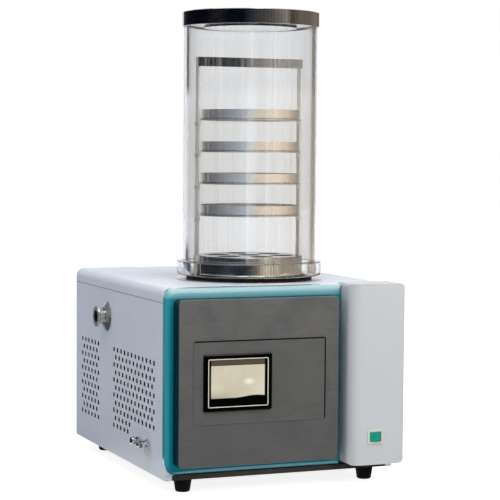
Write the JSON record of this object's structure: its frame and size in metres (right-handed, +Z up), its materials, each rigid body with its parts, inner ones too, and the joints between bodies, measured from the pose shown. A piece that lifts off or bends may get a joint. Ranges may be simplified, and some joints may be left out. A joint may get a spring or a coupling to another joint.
{
  "type": "freeze dryer",
  "caption": "Benchtop freeze dryer: cabinet with touch screen and switch column, side vacuum port, and a clear bell over a cold trap holding a rack of round trays.",
  "frame": {"origin": "middle of the overall footprint, on the bench under the feet", "axes": "+X to the right seen from the front, +Y to the back, +Z up along the bell"},
  "size_m": [0.474, 0.6074, 0.8755],
  "materials": {
    "teal_moulding": "glossy teal moulding",
    "navy_moulding": "dark blue satin moulding",
    "grey_panel": "fine textured grey moulding",
    "overlay_film": "matt membrane film",
    "white_paint": "pale grey powder coat",
    "column_moulding": "pale grey painted moulding",
    "black_paint": "black powder coat",
    "rubber_black": "moulded black rubber",
    "screen_black": "glossy black case",
    "screen_glass": "display glass",
    "switch_cream": "cream moulding",
    "switch_green": "green translucent moulding",
    "stainless": "brushed stainless steel",
    "polished_steel": "polished stainless steel",
    "acrylic": "clear cast acrylic",
    "seal_rubber": "black vacuum rubber",
    "silicone": "clear silicone",
    "foam": "black closed-cell elastomer foam",
    "copper": "drawn copper pipe",
    "compressor_black": "gloss black paint",
    "zinc_steel": "zinc plated sheet",
    "fan_black": "black moulding",
    "chrome_fitting": "chromed brass",
    "lever_grey": "light grey moulding",
    "board_green": "coated circuit board",
    "black_moulding": "black moulding"
  },
  "bodies": {
    "cabinet": {"base_pan": "black_paint", "bell_flange": "acrylic", "bell_seal": "seal_rubber", "bell_tube": "acrylic", "column_cover": "column_moulding", "compressor": "compressor_black", "compressor_grommets": "rubber_black", "condenser": "black_paint", "control_board": "board_green", "discharge_line": "copper", "drain_hose": "silicone", "drain_valve_body": "chrome_fitting", "evaporator_jacket": "copper", "fan_motor": "zinc_steel", "fan_shroud": "zinc_steel", "filter_drier": "copper", "foot_front_left": "rubber_black", "foot_front_right": "rubber_black", "foot_rear_left": "rubber_black", "foot_rear_right": "rubber_black", "front_bezel": "teal_moulding", "front_panel": "grey_panel", "front_wall": "zinc_steel", "left_side_panel": "white_paint", "lid_band": "polished_steel", "lid_plate": "acrylic", "liquid_line": "copper", "overlay": "overlay_film", "panel_housing": "navy_moulding", "port_escutcheon": "polished_steel", "power_inlet": "black_moulding", "power_supply": "zinc_steel", "rack_bar": "stainless", "rack_base": "polished_steel", "rack_posts": "stainless", "rack_screws": "polished_steel", "rear_panel": "white_paint", "right_side_panel": "white_paint", "rocker_frame": "switch_cream", "screen_case": "screen_black", "screen_glass": "screen_glass", "suction_line": "copper", "top_cover": "white_paint", "trap_insulation": "foam", "trap_vessel": "stainless", "tray_1": "polished_steel", "tray_2": "polished_steel", "tray_3": "polished_steel", "tray_4": "polished_steel", "tray_support_1": "stainless", "tray_support_2": "stainless", "tray_support_3": "stainless", "tray_support_4": "stainless", "vacuum_gauge": "zinc_steel", "vacuum_line": "stainless", "vent_valve_body": "chrome_fitting"},
    "rocker": {"rocker_button": "switch_green"},
    "drain_handle": {"drain_lever": "lever_grey"},
    "vent_knob": {"vent_valve_knob": "chrome_fitting"},
    "fan": {"fan_blades": "fan_black"}
  },
  "joints": [
    {"name": "rocker_tip", "type": "hinge", "parent": "cabinet", "child": "rocker", "pos_m": [0.1775, -0.29728, 0.091], "axis": [0, 0, 1], "range_deg": [0, 16]},
    {"name": "drain_turn", "type": "hinge", "parent": "cabinet", "child": "drain_handle", "pos_m": [-0.2235, -0.16928, 0.077], "axis": [0, 1, 0], "range_deg": [0, 90]},
    {"name": "vent_turn", "type": "hinge", "parent": "cabinet", "child": "vent_knob", "pos_m": [-0.2245, -0.11128, 0.077], "axis": [-1, 0, 0], "range_deg": [0, 270]},
    {"name": "fan_spin", "type": "hinge", "parent": "cabinet", "child": "fan", "pos_m": [-0.13462, 0.19372, 0.151], "axis": [1, 0, 0], "continuous": true}
  ]
}
